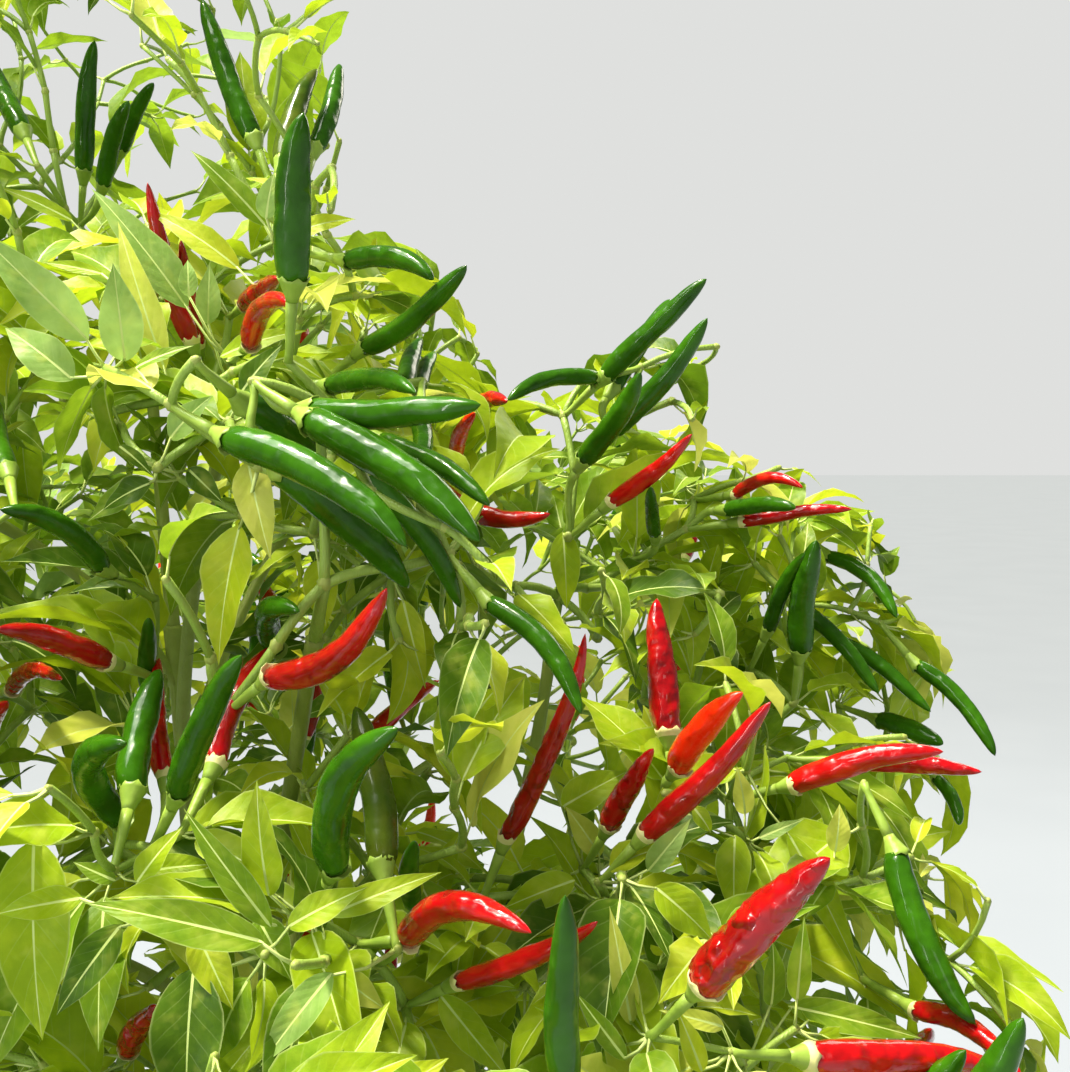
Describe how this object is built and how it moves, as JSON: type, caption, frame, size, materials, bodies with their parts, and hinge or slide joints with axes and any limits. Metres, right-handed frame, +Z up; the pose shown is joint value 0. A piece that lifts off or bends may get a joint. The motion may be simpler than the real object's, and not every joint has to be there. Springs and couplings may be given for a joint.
{
  "type": "chilli pepper plant",
  "caption": "Bushy chilli pepper plant, rooted at ground level: a short woody stem forks into limbs and green boughs that carry rounded masses of leaves with slim upright and hanging pods.",
  "frame": {"origin": "centre of the flat cut under the main stem, at ground level", "axes": "+Z up along the stem; -Y towards the plant's front, the side that the picture looks at; +X to the right as seen from the front"},
  "size_m": [0.7726, 0.7167, 0.9641],
  "materials": {
    "bark": "dull olive-brown bark, greener towards the tips of the limbs",
    "green_wood": "satin green stems, not yet woody",
    "foliage": "leaves with a soft sheen; glossy green and red pods"
  },
  "bodies": {
    "root": {"main_stem": "bark", "limb_top": "bark", "limb_front": "bark", "limb_left": "bark", "limb_right": "bark", "limb_back": "bark", "bough_top": "green_wood", "bough_top_front": "green_wood", "bough_upper_left": "green_wood", "bough_upper_back": "green_wood", "bough_front": "green_wood", "bough_front_low": "green_wood", "bough_front_left": "green_wood", "bough_upper_right": "green_wood", "bough_right": "green_wood", "bough_right_front": "green_wood", "bough_back_right": "green_wood", "bough_back": "green_wood", "bough_back_left": "green_wood", "bough_left": "green_wood", "bough_right_low": "green_wood", "bough_left_low": "green_wood", "bough_front_under": "green_wood", "bough_back_low": "green_wood", "foliage_top": "foliage", "foliage_top_front": "foliage", "foliage_upper_left": "foliage", "foliage_upper_back": "foliage", "foliage_front": "foliage", "foliage_front_low": "foliage", "foliage_front_left": "foliage", "foliage_upper_right": "foliage", "foliage_right": "foliage", "foliage_right_front": "foliage", "foliage_back_right": "foliage", "foliage_back": "foliage", "foliage_back_left": "foliage", "foliage_left": "foliage", "foliage_right_low": "foliage", "foliage_left_low": "foliage", "foliage_front_under": "foliage", "foliage_back_low": "foliage"}
  },
  "joints": []
}
